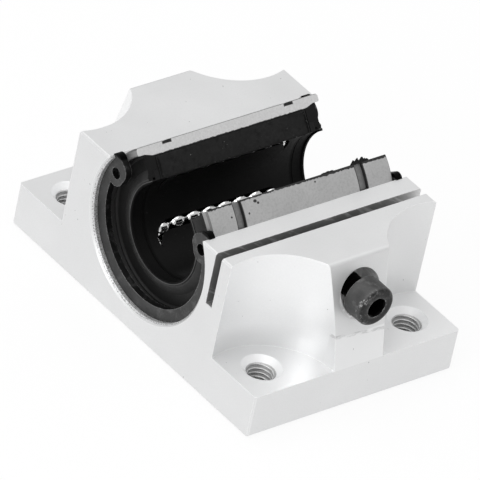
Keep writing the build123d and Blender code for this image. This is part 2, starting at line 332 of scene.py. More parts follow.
class Look(Tree):
    """A material whose finish changes with the place on the part, in millimetres."""

    def __init__(self, name):
        self.material = bpy.data.materials.new(name)
        super().__init__(self.material)
        self.shader = self.new("BsdfPrincipled")
        self.new("OutputMaterial", Surface=self.shader.outputs[0])
        self.place = self.new("TexCoord").outputs["Object"]

    def painted(self, **inputs):
        """The material, once its shader's inputs are set."""
        self.feed(self.shader, inputs)
        return self.material

    @cached_property
    def axes(self):
        scaled = self.new("VectorMath", {"operation": "SCALE"}, Scale=1 / MM)
        self.join(self.place, scaled.inputs[0])
        return self.new("SeparateXYZ", Vector=scaled.outputs[0]).outputs

    @cached_property
    def x(self):
        return self.axes[0]

    @cached_property
    def y(self):
        return self.axes[1]

    @cached_property
    def z(self):
        return self.axes[2]

    @cached_property
    def far_x(self):
        """How far the place lies from the middle of the part along X, to either side."""
        return self.math("ABSOLUTE", self.x)

    @cached_property
    def far_y(self):
        """How far the place lies from the middle of the part along Y, to either side."""
        return self.math("ABSOLUTE", self.y)

    @cached_property
    def radius(self):
        """The distance from the shaft's axis."""
        return self.distance(self.y, self.z)

    @cached_property
    def turn(self):
        """The angle round the shaft's axis from straight down, in degrees, to either side."""
        return self.times(self.math("ARCTAN2", self.far_y, self.times(self.z, -1.0)), degrees(1.0))

    @cached_property
    def from_screw(self):
        """The distance from the adjusting screw's axis."""
        return self.distance(self.x, self.minus(self.z, screw_rise))

    def distance(self, first, second):
        return self.math("SQRT", self.plus(self.times(first, first), self.times(second, second)))

    def ramp(self, value, low, high, start=0.0, end=1.0):
        """A number that goes from low to high while a value goes from start to end."""
        node = self.new(
            "MapRange", {"clamp": True}, From_Min=start, From_Max=end, To_Min=low, To_Max=high
        )
        self.join(value, node.inputs["Value"])
        return node.outputs[0]

    def rise(self, value, start, end):
        return self.ramp(value, 0.0, 1.0, start, end)

    def fall(self, value, start, end):
        return self.ramp(value, 1.0, 0.0, start, end)

    def above(self, value, limit, past=0.02, soft=0.04):
        """1 over a limit and a little past it, with a soft end there."""
        return self.rise(value, limit - past - soft, limit - past)

    def below(self, value, limit, past=0.02, soft=0.04):
        """1 under a limit and a little past it, with a soft end there."""
        return self.fall(value, limit + past, limit + past + soft)

    def band(self, value, low, high, past=0.0, soft=0.01):
        """1 between two limits and a little past them, with soft ends."""
        return self.times(self.above(value, low, past, soft), self.below(value, high, past, soft))

    def stretched(self, x=1.0, y=1.0, z=1.0):
        return self.new("Mapping", Vector=self.place, Scale=(x, y, z)).outputs[0]

    def slanted(self, angle, along, across):
        """Places turned about Y by an angle in degrees, then stretched along that line."""
        node = self.new(
            "Mapping",
            {"vector_type": "TEXTURE"},
            Vector=self.place,
            Rotation=(0.0, radians(angle), 0.0),
            Scale=(1 / along, 1.0, 1 / across),
        )
        return node.outputs[0]

    def noise(self, scale, detail, roughness=0.55, place=None):
        node = self.new(
            "TexNoise",
            Vector=self.place if place is None else place,
            Scale=scale,
            Detail=detail,
            Roughness=roughness,
        )
        return node.outputs[0]

    def mix(self, share, first, second):
        """One colour turning into another."""
        node = self.new("Mix", {"data_type": "RGBA"}, Factor=share, A=first, B=second)
        return node.outputs["Result"]

    def mottle(self, value, greys, start=0.3, end=0.7, tint=0.0):
        """One grey turning into another while a value goes from start to end."""
        return self.mix(self.rise(value, start, end), grey(greys[0], tint), grey(greys[1], tint))

    def laid_over(self, tone, layers):
        """A tone under layers, each with its mask and its own tone."""
        for mask, layer_tone in layers:
            tone = self.mix(mask, tone, layer_tone)
        return tone

    def bevel(self, radius, samples):
        return self.new("Bevel", {"samples": samples}, Radius=radius * MM).outputs[0]

    def edges(self, radius):
        """1 at sharp edges and 0 on open faces, within a radius."""
        flat = self.new("NewGeometry").outputs["True Normal"]
        dot = self.new("VectorMath", {"operation": "DOT_PRODUCT"})
        self.join(self.bevel(radius, 4), dot.inputs[0])
        self.join(flat, dot.inputs[1])
        return self.fall(dot.outputs["Value"], 0.90, 0.998)

    def bump(self, height, strength, distance, edge_radius):
        """A fine relief over edges that look rounded to a radius."""
        rounded = self.bevel(edge_radius, 6)
        node = self.new(
            "Bump", Strength=strength, Distance=distance * MM, Height=height, Normal=rounded
        )
        return node.outputs[0]


def pocket_finish(look):
    """The mask and tone of the milled pockets: painted light on the front ones, painted shade at their
    foot, and painted shade on the rear ones.
    """
    from_axis = look.distance(look.minus(look.far_x, pocket_x), look.minus(look.far_y, pocket_y))
    mask = look.times(look.below(from_axis, pocket_radius), look.above(look.z, flange_z))
    fine = look.noise(4200.0, 4.0, 0.75)
    front = look.mottle(fine, pocket_painted_light_greys, tint=alloy_tint)
    shaded = look.ramp(look.z, 0.6, 0.0, flange_z, flange_z + pocket_shade_height)
    front = look.mix(shaded, front, alloy(pocket_painted_foot_shade_grey))
    rear = look.mottle(fine, pocket_painted_shade_greys, tint=alloy_tint)
    return mask, look.mix(look.rise(look.x, -1.0, 1.0), front, rear)


def slot_finish(look):
    """The mask and tone of the adjusting slot, darkened with painted shade on its walls, scratched paler,
    and paler toward the rear.
    """
    mask = look.times(
        look.band(look.y, slot_low_y, slot_high_y, past=0.04, soft=0.02),
        look.above(look.z, slot_floor_z, past=0.04, soft=0.06),
    )
    scratches = look.noise(900.0, 3.0, 0.6, look.slanted(35.0, 0.12, 1.0))
    tone = look.mottle(scratches, slot_shade_and_scratch_greys, 0.55, 0.66)
    paler = look.ramp(look.x, 0.0, 0.8, slot_paler_x, block_end_x)
    return mask, look.mix(paler, tone, grey(slot_rear_grey))


def counterbore_finish(look):
    """The mask and tone of the screw's counterbore, scuffed, and made bright with painted light where the
    screw's head shades it.
    """
    mask = look.times(
        look.below(look.from_screw, counterbore_radius, past=0.03, soft=0.07),
        look.below(look.y, counterbore_floor_y, soft=0.03),
    )
    scuffs = look.noise(900.0, 4.0, 0.7, look.stretched(y=0.4))
    return mask, look.mottle(scuffs, counterbore_scuff_and_light_greys, 0.45, 0.6)


def rib_layers(look):
    """The rib on the screw's side: paler with painted light under its waist, with a ragged painted shadow
    line at the waist.
    """
    on_rib = look.times(
        look.below(look.far_x, rib_half_width, past=-0.1, soft=0.2),
        look.below(look.y, rib_y, past=-0.1, soft=0.2),
        look.above(look.z, flange_z, past=-0.05, soft=0.1),
    )
    under_waist = look.below(look.z, waist_z, past=-0.1, soft=0.2)
    line = look.plus(look.z, look.times(look.x, fold_slope))
    ragged = look.rise(look.noise(900.0, 5.0, 0.75, look.stretched(x=0.5, z=1.6)), 0.44, 0.56)
    on_line = look.times(look.band(line, waist_z - fold_height, waist_z + 0.02, soft=0.12), ragged)
    return (
        (look.times(on_rib, under_waist), alloy(rib_painted_light_grey)),
        (look.times(on_line, on_rib, 0.5), grey(fold_painted_shadow_grey)),
    )


def chamfer_layer(look):
    """Dark dots on the broken edge of the bore."""
    on_chamfer = look.times(
        look.band(look.radius, chamfer_low_radius, chamfer_high_radius, soft=0.05),
        look.above(look.far_x, chamfer_x, past=-0.05, soft=0.1),
    )
    dots = look.rise(look.noise(4600.0, 4.0, 0.75), 0.46, 0.62)
    return look.times(on_chamfer, dots), grey(chamfer_grey)


def corner_hole_layers(look):
    """The thread of each corner hole, with painted highlights on its crests and painted shade in its roots,
    and the sink above it, paler with painted light.
    """
    from_axis = look.distance(
        look.minus(look.far_x, bolt_spacing_x / 2), look.minus(look.far_y, bolt_spacing_y / 2)
    )
    in_thread = look.times(
        look.below(from_axis, bolt_radius, past=0.03, soft=0.03),
        look.below(look.z, thread_top_z, past=-0.05, soft=0.1),
    )
    on_crest = look.below(from_axis, bolt_radius - thread_depth, past=0.01, soft=0.14)
    thread_tone = look.mix(on_crest, grey(thread_shade_and_highlight_greys[0]), grey(thread_shade_and_highlight_greys[1]))
    in_sink = look.times(
        look.below(from_axis, bolt_sink_radius, past=-0.02),
        look.below(look.z, flange_z, past=-0.06),
        look.minus(1.0, in_thread),
    )
    return (in_thread, thread_tone), (in_sink, alloy(sink_painted_light_grey))


def aluminium():
    """Pale milled aluminium: fine grain, cutter marks, pockets with painted light and shade, and painted
    highlights along its edges.
    """
    look = Look("aluminium_milled")
    cloud = look.noise(90.0, 3.0)
    grain = look.noise(5200.0, 3.0, 0.6)
    lines = look.noise(900.0, 2.0, 0.6, look.stretched(x=0.06))
    upright = look.noise(1500.0, 3.0, 0.6, look.stretched(z=0.08))
    specks = look.rise(look.noise(1500.0, 1.0, 0.5), 0.80, 0.83)
    rag = look.ramp(look.noise(1300.0, 3.0, 0.7), 0.35, 1.0, 0.35, 0.55)

    in_pocket, pocket_tone = pocket_finish(look)
    in_counterbore, counterbore_tone = counterbore_finish(look)
    thread_layer, sink_layer = corner_hole_layers(look)
    layers = (
        (look.ramp(grain, 0.0, 0.30, 0.45, 0.75), alloy(milled_grain_grey)),
        (in_pocket, pocket_tone),
        slot_finish(look),
        (in_counterbore, counterbore_tone),
        *rib_layers(look),
        chamfer_layer(look),
        thread_layer,
        sink_layer,
        (look.times(specks, 0.6), grey(speck_grey)),
        # Painted highlights along every edge, broken up by noise
        (look.times(look.edges(0.2), rag), alloy(edge_highlight_grey)),
    )
    milled = look.mottle(cloud, milled_greys, tint=alloy_tint)

    rear_pocket = look.times(in_pocket, look.rise(look.x, -1.0, 1.0))
    dull = look.math("MAXIMUM", look.math("MAXIMUM", sink_layer[0], in_counterbore), rear_pocket)
    rough = look.plus(look.ramp(grain, 0.42, 0.54, 0.3, 0.7), look.ramp(cloud, -0.02, 0.03, 0.3, 0.7))
    marks = look.plus(grain, look.times(lines, 0.7), look.times(upright, 0.8))
    relief = look.minus(marks, look.times(specks, 2.0))
    return look.painted(
        Base_Color=look.laid_over(milled, layers),
        Metallic=look.ramp(dull, 0.7, 0.3),
        Roughness=look.minus(rough, look.times(in_pocket, 0.08)),
        Normal=look.bump(relief, 0.35, 0.006, 0.14),
    )


def sleeve_groove_layers(look, grain):
    """The snap grooves of the sleeve: a dull floor, and painted shade in black along both of their sides.
    """
    from_middle = look.minus(look.far_x, (snap_groove_low + snap_groove_high) / 2)
    from_middle = look.math("ABSOLUTE", from_middle)
    half_width = (snap_groove_high - snap_groove_low) / 2
    floor_radius = sleeve_radius - snap_groove_depth
    on_floor = look.times(
        look.band(look.far_x, snap_groove_low, snap_groove_high),
        look.band(look.radius, floor_radius - 0.03, sleeve_radius - 0.06),
    )
    on_side = look.times(
        look.band(from_middle, half_width - 0.09, half_width + 0.13, soft=0.02),
        look.above(look.radius, floor_radius, past=0.0, soft=0.1),
    )
    return (
        (on_floor, look.mottle(grain, groove_greys, 0.4, 0.7)),
        (look.times(on_side, 0.9), grey(groove_side_painted_shade_grey)),
    )


def sleeve_end_layer(look, blots, under_gap):
    """The sleeve's end faces, with a darker rim."""
    on_end = look.above(look.far_x, sleeve_end_x, past=0.28, soft=0.05)
    on_rim = look.above(look.radius, sleeve_radius, past=0.28, soft=0.06)
    end_tone = look.mix(blots, grey(end_greys[0]), grey(end_greys[1]))
    end_tone = look.mix(on_rim, end_tone, grey(end_rim_grey))
    return look.times(on_end, under_gap), end_tone


def sleeve_edge_layers(look, rag, on_outside):
    """Painted shade in black along the ragged edges of the cut faces: the outer, thicker toward the rear,
    and the inner.
    """
    edge_angle = look.plus(
        look.turn, look.ramp(rag, -0.6, 0.6, 0.3, 0.7), look.ramp(look.x, 0.0, 0.7, -2.0, 6.0)
    )
    outer = look.times(look.above(edge_angle, cut_angle, past=0.95, soft=0.3), on_outside, 0.95)
    edge_radius = look.minus(look.radius, look.ramp(rag, -0.06, 0.10, 0.3, 0.7))
    inner = look.times(
        look.below(edge_radius, relief_radius, past=0.08, soft=0.05),
        look.above(look.turn, cut_angle, past=0.1, soft=0.2),
        0.95,
    )
    return (outer, grey(sleeve_edge_painted_shade_grey)), (inner, grey(sleeve_edge_painted_shade_grey))


def chip_layers(look, rag):
    """Small dark chips on the near side of the sleeve."""
    near_side = look.fall(look.y, -0.1, 0.1)
    rough_edge = look.ramp(rag, -0.5, 0.5, 0.3, 0.7)
    layers = []
    for chip_x, chip_angle, half_length, half_angle in chips:
        along = look.math("DIVIDE", look.minus(look.x, chip_x), half_length)
        round_it = look.math("DIVIDE", look.minus(look.turn, chip_angle), half_angle)
        spread = look.plus(look.times(along, along), look.times(round_it, round_it), rough_edge)
        layers.append((look.times(look.fall(spread, 0.8, 1.2), near_side), grey(chip_grey)))
    return layers


def ground_steel():
    """Bearing steel: ground outside, cut bright along the gap, dark on its ends and in its grooves."""
    look = Look("steel_ground")
    cloud = look.noise(140.0, 3.0)
    lines = look.noise(2600.0, 2.0, 0.6, look.stretched(y=0.05, z=0.05))
    grain = look.noise(2600.0, 4.0, 0.7)
    blots = look.rise(look.noise(900.0, 4.0, 0.7), 0.66, 0.74)
    rag = look.noise(1500.0, 4.0, 0.7)

    ground = look.mottle(cloud, ground_greys)
    ground = look.mix(look.ramp(grain, 0.0, 0.7, 0.45, 0.70), ground, grey(ground_grain_grey))
    cut = look.mottle(grain, cut_greys, 0.35, 0.65)
    on_outside = look.above(look.radius, sleeve_radius, past=0.03, soft=0.03)
    under_gap = look.below(look.turn, cut_angle, past=-0.5, soft=0.3)
    inside = look.times(under_gap, look.below(look.radius, sleeve_radius, past=-0.6, soft=0.05))
    layers = (
        (on_outside, ground),
        (inside, grey(inside_grey)),
        *sleeve_groove_layers(look, grain),
        sleeve_end_layer(look, blots, under_gap),
        *sleeve_edge_layers(look, rag, on_outside),
        (look.times(blots, 0.35), grey(blot_grey)),
        *chip_layers(look, rag),
    )
    return look.painted(
        Base_Color=look.laid_over(cut, layers),
        Metallic=0.75,
        Roughness=look.ramp(lines, 0.40, 0.52, 0.3, 0.7),
        Normal=look.bump(look.plus(lines, grain), 0.3, 0.004, 0.06),
    )


def moulded(name, tone_at, roughness, gloss):
    """Black moulded plastic or rubber, its tone given by where it lies on the bearing."""
    look = Look(name)
    cloud = look.noise(260.0, 3.0)
    grain = look.noise(2800.0, 3.0, 0.6)
    scuffs = look.rise(look.noise(1100.0, 4.0, 0.72), 0.66, 0.74)
    layers = (
        (look.ramp(cloud, 0.0, 0.5, 0.35, 0.7), grey(moulded_cloud_grey)),
        (look.times(scuffs, 0.25), grey(moulded_scuff_grey)),
    )
    in_bore = look.below(look.radius, cage_inner, past=0.03, soft=0.05)
    at_ends = look.ramp(look.far_x, 0.25, 0.70, cage_end_x - 0.25, cage_end_x + 0.05)
    return look.painted(
        Base_Color=look.laid_over(tone_at(look), layers),
        Specular_IOR_Level=look.ramp(look.times(in_bore, at_ends), gloss, 0.0),
        Roughness=look.ramp(grain, roughness - 0.07, roughness + 0.09, 0.3, 0.7),
        Normal=look.bump(look.plus(grain, cloud), 0.25, 0.006, 0.08),
    )


def cage_tone(look):
    """Near black in the bore, greyer on the cut faces, with a ragged edge between the two, and a patch of
    painted light low in the bore on its near side.
    """
    ragged = look.ramp(look.noise(700.0, 5.0, 0.75), -1.2, 2.8, 0.35, 0.7)
    on_cut = look.above(look.plus(look.turn, ragged), cut_angle, past=0.2, soft=0.3)
    cut_tone = look.mottle(look.noise(1600.0, 4.0, 0.7), cage_cut_greys, 0.4, 0.75)
    marks = look.rise(look.noise(1300.0, 4.0, 0.7, look.stretched(x=0.6)), 0.70, 0.76)
    cut_tone = look.mix(marks, cut_tone, grey(cage_mark_grey))
    paler = look.times(
        look.band(look.y, bore_paler_low_y, bore_paler_high_y, soft=1.5),
        look.below(look.far_x, bore_paler_end_x, past=0.0, soft=0.2),
        look.below(look.z, bore_paler_top_z, past=0.0, soft=3.0),
    )
    bore_tone = look.mix(paler, grey(cage_bore_and_painted_light_greys[0]), grey(cage_bore_and_painted_light_greys[1]))
    return look.mix(on_cut, bore_tone, cut_tone)


def ring_tone(look):
    """A band round the face darkened with painted shade, a cone from it to the seal made paler toward the
    seal with a painted reflection, and a black torn cut.
    """
    cone_foot = band_inner_radius + 0.08
    in_band = look.band(look.radius, cone_foot, band_outer_radius - 0.02, soft=0.15)
    cone_tone = look.mottle(look.radius, cone_painted_reflection_greys, cone_foot - 1.2, cone_foot)
    torn = look.plus(look.turn, look.ramp(look.noise(1500.0, 4.0, 0.7), -0.6, 1.0, 0.3, 0.7))
    on_cut = look.above(torn, cut_angle, past=0.6, soft=0.3)
    return look.laid_over(cone_tone, ((in_band, grey(band_painted_shade_grey)), (on_cut, grey(ring_cut_grey))))


def seal_tone(look):
    """Dull black rubber, with a painted highlight on its lip."""
    on_lip = look.times(
        look.above(look.radius, cage_inner, past=-0.06),
        look.above(look.far_x, seal_lip_x, past=-0.1, soft=0.2),
    )
    return look.mix(on_lip, grey(seal_and_lip_highlight_greys[0]), grey(seal_and_lip_highlight_greys[1]))


def polished_balls():
    """Polished bearing balls under a thin film of oil."""
    look = Look("steel_polished")
    film = look.noise(520.0, 3.0)
    return look.painted(
        Base_Color=look.mottle(film, ball_greys, 0.35, 0.65),
        Metallic=1.0,
        Roughness=look.ramp(film, 0.05, 0.14, 0.3, 0.7),
    )


def torn_edge():
    """Nearly black burr, with a few bright torn spots."""
    look = Look("burr_black")
    spots = look.rise(look.noise(2200.0, 3.0, 0.7), 0.62, 0.70)
    return look.painted(
        Base_Color=look.mix(spots, grey(burr_greys[0]), grey(burr_greys[1])),
        Specular_IOR_Level=0.2,
        Roughness=look.ramp(spots, 0.6, 0.4),
    )


def black_oxide(name, dark, bright, patches, edges, dark_axis, dark_shares, painted_shade_at, worn):
    """Blackened steel, with the black rubbed thin on edges and in patches, painted shade on faces by how
    they turn, and painted shade near black where little light reaches it.
    """
    look = Look(name)
    cloud = look.noise(420.0, 4.0, 0.6)
    grain = look.noise(3800.0, 3.0, 0.6)
    rub = look.rise(look.noise(520.0, 5.0, 0.72), 0.52, 0.68)
    edge_specks = look.ramp(look.noise(2600.0, 4.0, 0.75), 0.15, 1.0, 0.42, 0.6)
    worn_specks = look.rise(look.noise(3200.0, 4.0, 0.75), 0.50, 0.62)
    normal = look.new("NewGeometry").outputs["True Normal"]
    facing = look.math("ABSOLUTE", look.new("SeparateXYZ", Vector=normal).outputs[dark_axis])
    black = look.mottle(cloud, (dark, dark * 1.6))
    # Painted shade: faces laid toward the turned-away grey by how they face the dark axis
    black = look.mix(look.ramp(facing, *dark_shares, 0.3, 0.8), grey(turned_away_grey), black)
    painted_shade = painted_shade_at(look)
    layers = (
        (look.times(rub, patches), grey(bright * 0.6)),
        (look.times(look.edges(0.16), edges, edge_specks), grey(bright)),
        # Worn specks; on the screw's rim they also paint a highlight on its lit left side
        (look.times(worn(look), worn_specks), grey(bright)),
        (painted_shade, grey(painted_shade_grey)),
    )
    return look.painted(
        Base_Color=look.laid_over(black, layers),
        Specular_IOR_Level=look.ramp(painted_shade, 0.5, 0.05),
        Metallic=0.8,
        Roughness=look.ramp(grain, 0.40, 0.56, 0.3, 0.7),
        Normal=look.bump(look.plus(grain, cloud), 0.3, 0.005, 0.06),
    )


def circlip_tips(look):
    """The upper tips of the circlip's two ears, kept black with painted shade."""
    return look.above(look.z, circlip_tip_z, past=-0.1, soft=0.2)


def circlip_rim(look):
    """The circlip's outer rim, where its coating is worn in specks."""
    return look.ramp(look.radius, 0.0, 0.45, circlip_rim_low, circlip_rim_high)


def screw_shank(look):
    """The screw's shank and the inside of its socket, kept black with painted shade."""
    reach = look.ramp(
        look.y, hex_corner_radius, screw_thread_radius + 0.1, screw_under_y - 0.2, screw_under_y
    )
    return look.below(look.minus(look.from_screw, reach), 0.0, past=0.0, soft=0.05)


def screw_rim(look):
    """The rounded rim of the screw's head, worn bright in patches, with a painted highlight on its left
    side, where the light falls.
    """
    at_face = look.below(look.y, screw_low.y + screw_head_edge, past=0.0, soft=0.5)
    at_rim = look.above(look.from_screw, screw_head_radius, past=0.4, soft=0.4)
    left = look.fall(look.x, -1.5, 1.0)
    patch = look.rise(look.noise(700.0, 3.0, 0.6), 0.50, 0.60)
    return look.times(at_face, at_rim, left, patch, 0.7)


aluminium_look = aluminium()
plastic_look = moulded("plastic_black", cage_tone, 0.55, 0.18)
ring_look = moulded("plastic_dark_grey", ring_tone, 0.50, 0.22)
rubber_look = moulded("rubber_black", seal_tone, 0.60, 0.25)
steel_look = ground_steel()
ball_look = polished_balls()
burr_look = torn_edge()
circlip_look = black_oxide(
    "steel_phosphated",
    dark=0.045,
    bright=0.45,
    patches=0.25,
    edges=0.9,
    dark_axis="X",
    dark_shares=(0.15, 1.0),
    painted_shade_at=circlip_tips,
    worn=circlip_rim,
)
screw_look = black_oxide(
    "steel_blackened",
    dark=0.060,
    bright=0.62,
    patches=0.22,
    edges=0.95,
    dark_axis="Y",
    dark_shares=(1.0, 0.22),
    painted_shade_at=screw_shank,
    worn=screw_rim,
)

node_looks = {
    "housing": aluminium_look,
    "bearing_sleeve": steel_look,
    "ball_cage": plastic_look,
    "end_ring_front": ring_look,
    "end_ring_rear": ring_look,
    "wiper_seal_front": rubber_look,
    "wiper_seal_rear": rubber_look,
    "circlip_front": circlip_look,
    "circlip_rear": circlip_look,
    "adjusting_screw": screw_look,
}
for node_name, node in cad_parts.items():
    for material_slot in node.material_slots:
        material_slot.material = node_looks.get(node_name, ball_look)
    node.data.shade_smooth()
    node.data.set_sharp_from_angle(angle=radians(25))


def lofted(rings, closed=False):
    """A surface through rings of equally many points, with its two ends closed or open."""
    shape = bmesh.new()
    rows = [[shape.verts.new(point) for point in ring] for ring in rings]
    count = len(rows[0])
    for near, far in zip(rows, rows[1:]):
        for n in range(count):
            shape.faces.new((near[n], near[(n + 1) % count], far[(n + 1) % count], far[n]))
    if closed:
        shape.faces.new(rows[0])
        shape.faces.new(rows[-1])
    return shape


def swept(steps, section_at):
    """A closed shape through sections, each given for its share of the way along."""
    return lofted([section_at(step / steps) for step in range(steps + 1)], closed=True)


def add_to(whole, part):
    """Moves a bmesh's faces into another one."""
    part_mesh = bpy.data.meshes.new("part")
    part.to_mesh(part_mesh)
    part.free()
    whole.from_mesh(part_mesh)
    bpy.data.meshes.remove(part_mesh)


def ring_of_points(segments, radius_at, place):
    """Points round an axis, with a radius for each angle, put in place by a function."""
    ring = []
    for n in range(segments):
        angle = 2 * pi * n / segments
        radius = radius_at(angle)
        ring.append(place(radius * cos(angle), radius * sin(angle)))
    return ring


def from_bottom(radius, angle):
    """A point across the shaft, at an angle from straight down, positive toward +Y."""
    return Vector((0, radius * sin(radians(angle)), -radius * cos(radians(angle))))


def along_shaft(x):
    return Vector((x, 0, 0))


def straight(value, first, last, at_first, at_last):
    """A number that changes in a straight line while a value goes from first to last."""
    return at_first + (at_last - at_first) * (value - first) / (last - first)


def thread_wave(turns):
    """How high a thread's ridge stands, from 0 to 1, after this many pitches along it."""
    steepness = 2.6
    root_width = 0.25
    from_root = 0.5 - abs(turns - floor(turns) - 0.5)
    return min(1.0, max(0.0, from_root * steepness - root_width))


def tapped_thread(name, x, y):
    """The thread cut in one of the flange's holes, as a sleeve sunk a little in its wall."""
    segments = 48
    steps_per_pitch = 9
    wall = 0.1
    gap = 0.01
    foot_fade = 0.4
    top_fade = 0.25
    length = thread_top_z - foot_z
    steps = round(length / thread_pitch * steps_per_pitch)

    def ring_at(z, radius_at):
        return ring_of_points(segments, radius_at, lambda across, back: (x + across, y + back, z))

    rings = []
    for step in range(steps + 1):
        rise = length * step / steps
        fade = max(0.0, min(1.0, rise / foot_fade, (length - rise) / top_fade))

        def threaded(angle, rise=rise, fade=fade):
            ridge = thread_wave(rise / thread_pitch - angle / (2 * pi))
            return bolt_radius - gap - thread_depth * ridge * fade

        rings.append(ring_at(foot_z + rise, threaded))
    for z in (thread_top_z, foot_z):
        rings.append(ring_at(z, lambda angle: bolt_radius + wall))
    rings.append(rings[0])
    shape = lofted(rings)
    bmesh.ops.remove_doubles(shape, verts=shape.verts, dist=0.0005)
    mesh_piece(name, shape, "block", aluminium_look, 35)


hole = 0
for side_x in (-1, 1):
    for side_y in (-1, 1):
        hole += 1
        tapped_thread(f"tapped_thread_{hole}", side_x * bolt_spacing_x / 2, side_y * bolt_spacing_y / 2)

# Places of the balls in a turn: two stand a little way round it, and one at its far end
turn_radius = lane_spacing / 2
turn_ball_angle = 90 - 2 * degrees(asin(ball_pitch / lane_spacing))
turn_ball_shift = turn_radius * (1 - cos(radians(turn_ball_angle)))
row_end_x = ball_pitch * (balls_in_row - 1) / 2
turn_ball_x = row_end_x + sqrt(ball_pitch**2 - turn_ball_shift**2)
turn_centre_x = turn_ball_x - turn_radius * sin(radians(turn_ball_angle))


def circuit_lanes(angle):
    """The middle points of a circuit's loaded and return rows, across the shaft."""
    squares = loaded_row_radius**2 + return_row_radius**2 - lane_spacing**2
    half_angle = degrees(acos(squares / (2 * loaded_row_radius * return_row_radius))) / 2
    loaded = from_bottom(loaded_row_radius, angle + half_angle)
    return loaded, from_bottom(return_row_radius, angle - half_angle)


def ball_circuit(number, angle):
    """A circuit of balls, with the balls in its turns lifted a little off the shaft."""
    loaded, back = circuit_lanes(angle)
    along = (back - loaded).normalized()
    out = (loaded + back).normalized()
    places = []
    for n in range(balls_in_row):
        for lane in (0, lane_spacing):
            places.append((ball_pitch * n - row_end_x, lane, 0.0))
    for side in (-1, 1):
        places.append((side * turn_ball_x, turn_ball_shift, turn_lift / 4))
        places.append((side * turn_ball_x, lane_spacing - turn_ball_shift, turn_lift / 4))
        places.append((side * (turn_centre_x + turn_radius), turn_radius, turn_lift))
    shape = bmesh.new()
    for x, lateral, lift in places:
        centre = along_shaft(x) + loaded + along * lateral + out * lift
        bmesh.ops.create_uvsphere(
            shape, u_segments=32, v_segments=20, radius=ball_diameter / 2, matrix=Matrix.Translation(centre)
        )
    piece = mesh_piece(f"ball_circuit_{number}_polished", shape, "block", ball_look, 60)
    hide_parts(f"ball_circuit_{number}")


for number, angle in enumerate(circuit_angles, start=1):
    ball_circuit(number, angle)


def cage_lip(circuit_angle, side, inward):
    """A lip along one side of a turn, which comes nearer to its middle line along the turn."""
    first = 16.0
    last = 160.0
    closed_at = 106.0
    half_opening = 0.98
    narrowing = 0.85
    reach = 1.7
    root_radius = cage_inner + lip_thickness
    section = (
        (0, cage_inner - 0.02),
        (0.3, cage_inner - 0.015),
        (1, cage_inner + 0.04),
        (1, root_radius),
        (0.3, root_radius),
        (0, root_radius),
    )
    loaded, back = circuit_lanes(circuit_angle)
    along = (back - loaded).normalized()

    def section_at(share):
        turn = first + (last - first) * share
        open_share = max(0.0, 1 - (turn - first) / (closed_at - first))
        slit = half_opening * open_share**narrowing
        ring = []
        for width_share, radius in section:
            spread = turn_radius + inward * (slit + (reach - slit) * width_share)
            x = side * (turn_centre_x + spread * sin(radians(turn)))
            point = loaded + along * (turn_radius - spread * cos(radians(turn)))
            ring.append(along_shaft(x) + from_bottom(radius, degrees(atan2(point.y, -point.z))))
        return ring

    return swept(36, section_at)


def cage_lips():
    """The cage's lips in each turn, which narrow its opening to a point as the balls rise."""
    whole = bmesh.new()
    for circuit_angle in circuit_angles:
        for side in (-1, 1):
            for inward in (-1, 1):
                add_to(whole, cage_lip(circuit_angle, side, inward))
    mesh_piece("cage_turn_lips", whole, "block", plastic_look, 30)


cage_lips()


def ragged_ridge(name, start, end, out, side, height, foot, seed):
    """A torn ridge of burr along an edge from start to end, that grows outward from it."""
    foot_half_width = 0.08
    tip_half_width = 0.025
    least_height = 0.02
    coarse_waves = 1.1
    fine_waves = 4.5
    lean_waves = 2.3
    out = out.normalized()
    side = side.normalized()
    length = (end - start).length

    def section_at(share):
        along = length * share
        coarse = abs(noise.noise(Vector((along * coarse_waves, seed, 0.0))))
        fine = abs(noise.noise(Vector((along * fine_waves, seed, 3.0))))
        ends_fade = sin(pi * share) ** 0.4
        top = least_height + height * (0.45 + 1.2 * coarse + 0.4 * fine) * ends_fade
        lean = 0.3 * top * noise.noise(Vector((along * lean_waves, seed, 7.0)))
        edge = start.lerp(end, share)
        sunk = edge - out * foot
        tip = edge + out * top + side * lean
        return (
            sunk + side * foot_half_width,
            tip + side * tip_half_width,
            tip - side * tip_half_width,
            sunk - side * foot_half_width,
        )

    mesh_piece(name, swept(44, section_at), "block", burr_look, 40)


def sleeve_burr(number, x_low, x_high, height):
    """A burr that stands up from the near outer edge of the sleeve's gap."""
    edge = from_bottom(sleeve_radius - 0.05, -cut_angle)
    up = Vector((0, 0.27, 0.96))
    ragged_ridge(
        f"sleeve_burr_{number}",
        along_shaft(x_low) + edge,
        along_shaft(x_high) + edge,
        up,
        up.cross(along_shaft(1)),
        height,
        foot=0.12,
        seed=number,
    )


def cage_burrs():
    """Torn plastic along the lower edge of the far cut, and across it where the end rings meet."""
    inward = from_bottom(-1.0, cut_angle)
    along_cut = Vector((0, -inward.z, inward.y))
    low = from_bottom(cage_inner, cut_angle)
    high = from_bottom(relief_radius - 0.3, cut_angle)
    low_end = along_shaft(cage_end_x - 0.15)
    ragged_ridge(
        "cage_burr_low",
        low - low_end,
        low + low_end,
        inward,
        along_cut,
        height=0.16,
        foot=0.10,
        seed=4.0,
    )
    for number, x in enumerate((-cage_end_x, cage_end_x), start=1):
        ragged_ridge(
            f"cage_burr_ring_{number}",
            low + along_shaft(x) - inward * 0.1,
            high + along_shaft(x),
            from_bottom(1.0, cut_angle + 90),
            along_shaft(1),
            height=0.45,
            foot=0.15,
            seed=5.0 + number,
        )


for number, (x_low, x_high, height) in enumerate(sleeve_burrs, start=1):
    sleeve_burr(number, x_low, x_high, height)
cage_burrs()


